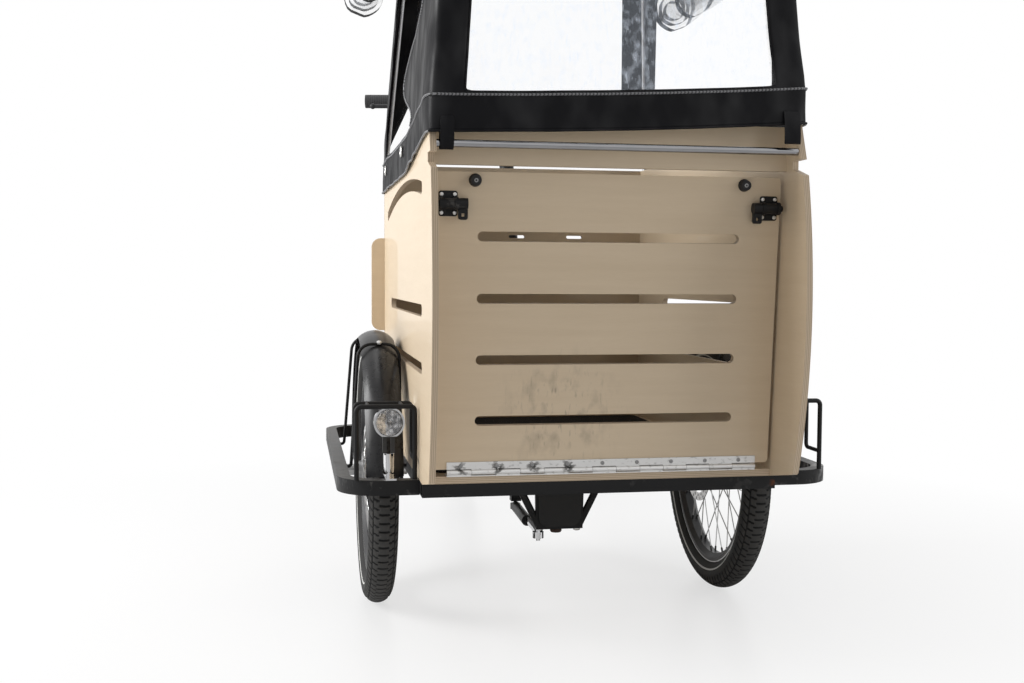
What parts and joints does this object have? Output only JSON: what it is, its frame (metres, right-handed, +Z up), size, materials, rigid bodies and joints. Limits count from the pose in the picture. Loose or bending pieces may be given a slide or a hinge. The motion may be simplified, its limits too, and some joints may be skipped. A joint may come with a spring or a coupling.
{
  "type": "three-wheeled box cargo trike with electric drive",
  "caption": "Box cargo trike: plywood box with ramp door and rain tent on a steering front carriage, rear frame with saddle, cranks, battery and a driven wheel.",
  "frame": {"origin": "on the ground, below the middle of the trike's box of extents", "axes": "+Z up, -Y to the front of the trike, +X to the rider's left"},
  "size_m": [0.87, 2.1507, 1.3799],
  "materials": {
    "plywood": "clear lacquer",
    "black_frame": "satin powder coat",
    "gloss_black": "gloss",
    "chrome": "polished",
    "bare_aluminium": "brushed",
    "bare_steel": "brushed",
    "tyre_rubber": "matt",
    "soft_rubber": "matt",
    "tent_fabric": "coated weave",
    "clear_sheet": "clear soft sheet",
    "lamp_lens": "clear",
    "black_plastic": "satin",
    "red_lens": "gloss",
    "saddle_cover": "matt"
  },
  "bodies": {
    "rear_body": {"rear_frame": "black_frame", "seat_post": "bare_aluminium", "saddle": "saddle_cover", "rear_axle": "bare_steel", "chain": "bare_steel", "chain_guard": "black_plastic", "rear_rack": "black_frame", "battery": "black_plastic", "rear_mudguard": "gloss_black", "rear_lamp": "red_lens"},
    "carriage": {"platform_frame": "black_frame", "wheel_hoops": "black_frame", "front_axles": "bare_steel", "brake_calipers": "black_plastic", "front_mudguards": "gloss_black", "mudguard_stays": "bare_steel", "lamp_cages": "black_frame", "head_lamps": "chrome", "head_lamp_lenses": "lamp_lens", "floor_board": "plywood", "floor_mat": "soft_rubber", "side_panel_left": "plywood", "side_panel_right": "plywood", "back_board": "plywood", "front_rail": "plywood", "cross_rod": "chrome", "hinge_leaf": "bare_aluminium", "tent_cover": "tent_fabric", "tent_windows": "clear_sheet", "tent_poles": "bare_aluminium", "side_window_rolls": "clear_sheet", "handlebar": "bare_aluminium", "handlebar_post": "black_frame", "handle_grips": "soft_rubber", "brake_levers": "black_plastic", "steering_bracket": "black_frame", "steering_pin": "bare_steel"},
    "ramp_door": {"door_panel": "plywood", "door_hinge": "bare_aluminium", "door_latches": "black_frame", "door_bumpers": "soft_rubber"},
    "left_front_wheel": {"front_tyre_left": "tyre_rubber", "front_rim_left": "black_frame", "front_hub_left": "bare_steel", "brake_disc_left": "bare_steel"},
    "right_front_wheel": {"front_tyre_right": "tyre_rubber", "front_rim_right": "black_frame", "front_hub_right": "bare_steel", "brake_disc_right": "bare_steel"},
    "rear_wheel": {"rear_tyre": "tyre_rubber", "rear_rim": "black_frame", "hub_motor": "bare_steel"},
    "cranks": {"crankset": "bare_aluminium"},
    "left_pedal": {"pedal_left": "black_plastic"},
    "right_pedal": {"pedal_right": "black_plastic"},
    "damper_body": {"damper_cylinder": "black_frame"},
    "damper_piston": {"damper_rod": "chrome"}
  },
  "joints": [
    {"name": "steering", "type": "hinge", "parent": "rear_body", "child": "carriage", "pos_m": [0, -0.563, 0.21], "axis": [0, 0, 1], "range_deg": [-35, 35]},
    {"name": "door_hinge", "type": "hinge", "parent": "carriage", "child": "ramp_door", "pos_m": [0, -0.942, 0.316], "axis": [1, 0, 0], "range_deg": [0, 124]},
    {"name": "front_wheel_left_spin", "type": "hinge", "parent": "carriage", "child": "left_front_wheel", "pos_m": [0.349, -0.512, 0.256], "axis": [1, 0, 0], "continuous": true},
    {"name": "front_wheel_right_spin", "type": "hinge", "parent": "carriage", "child": "right_front_wheel", "pos_m": [-0.349, -0.512, 0.256], "axis": [1, 0, 0], "continuous": true},
    {"name": "rear_wheel_spin", "type": "hinge", "parent": "rear_body", "child": "rear_wheel", "pos_m": [0, 0.757, 0.3], "axis": [1, 0, 0], "continuous": true},
    {"name": "crank_spin", "type": "hinge", "parent": "rear_body", "child": "cranks", "pos_m": [0, 0.342, 0.3], "axis": [1, 0, 0], "continuous": true},
    {"name": "pedal_left_spin", "type": "hinge", "parent": "cranks", "child": "left_pedal", "pos_m": [0.146, 0.47716, 0.20536], "axis": [1, 0, 0], "continuous": true},
    {"name": "pedal_right_spin", "type": "hinge", "parent": "cranks", "child": "right_pedal", "pos_m": [-0.146, 0.20684, 0.39464], "axis": [1, 0, 0], "continuous": true},
    {"name": "damper_swing", "type": "hinge", "parent": "rear_body", "child": "damper_body", "pos_m": [-0.03, -0.303, 0.134], "axis": [0, 0, 1], "range_deg": [-5, 5]},
    {"name": "damper_slide", "type": "slide", "parent": "damper_body", "child": "damper_piston", "axis": [-0.0339, -0.9994, 0], "range_m": [-0.026, 0.026]}
  ],
  "couplings": [
    {"joint": "damper_swing", "follows": "steering", "ratio": 0.115},
    {"joint": "damper_slide", "follows": "steering", "m_per_rad": 0.037}
  ]
}
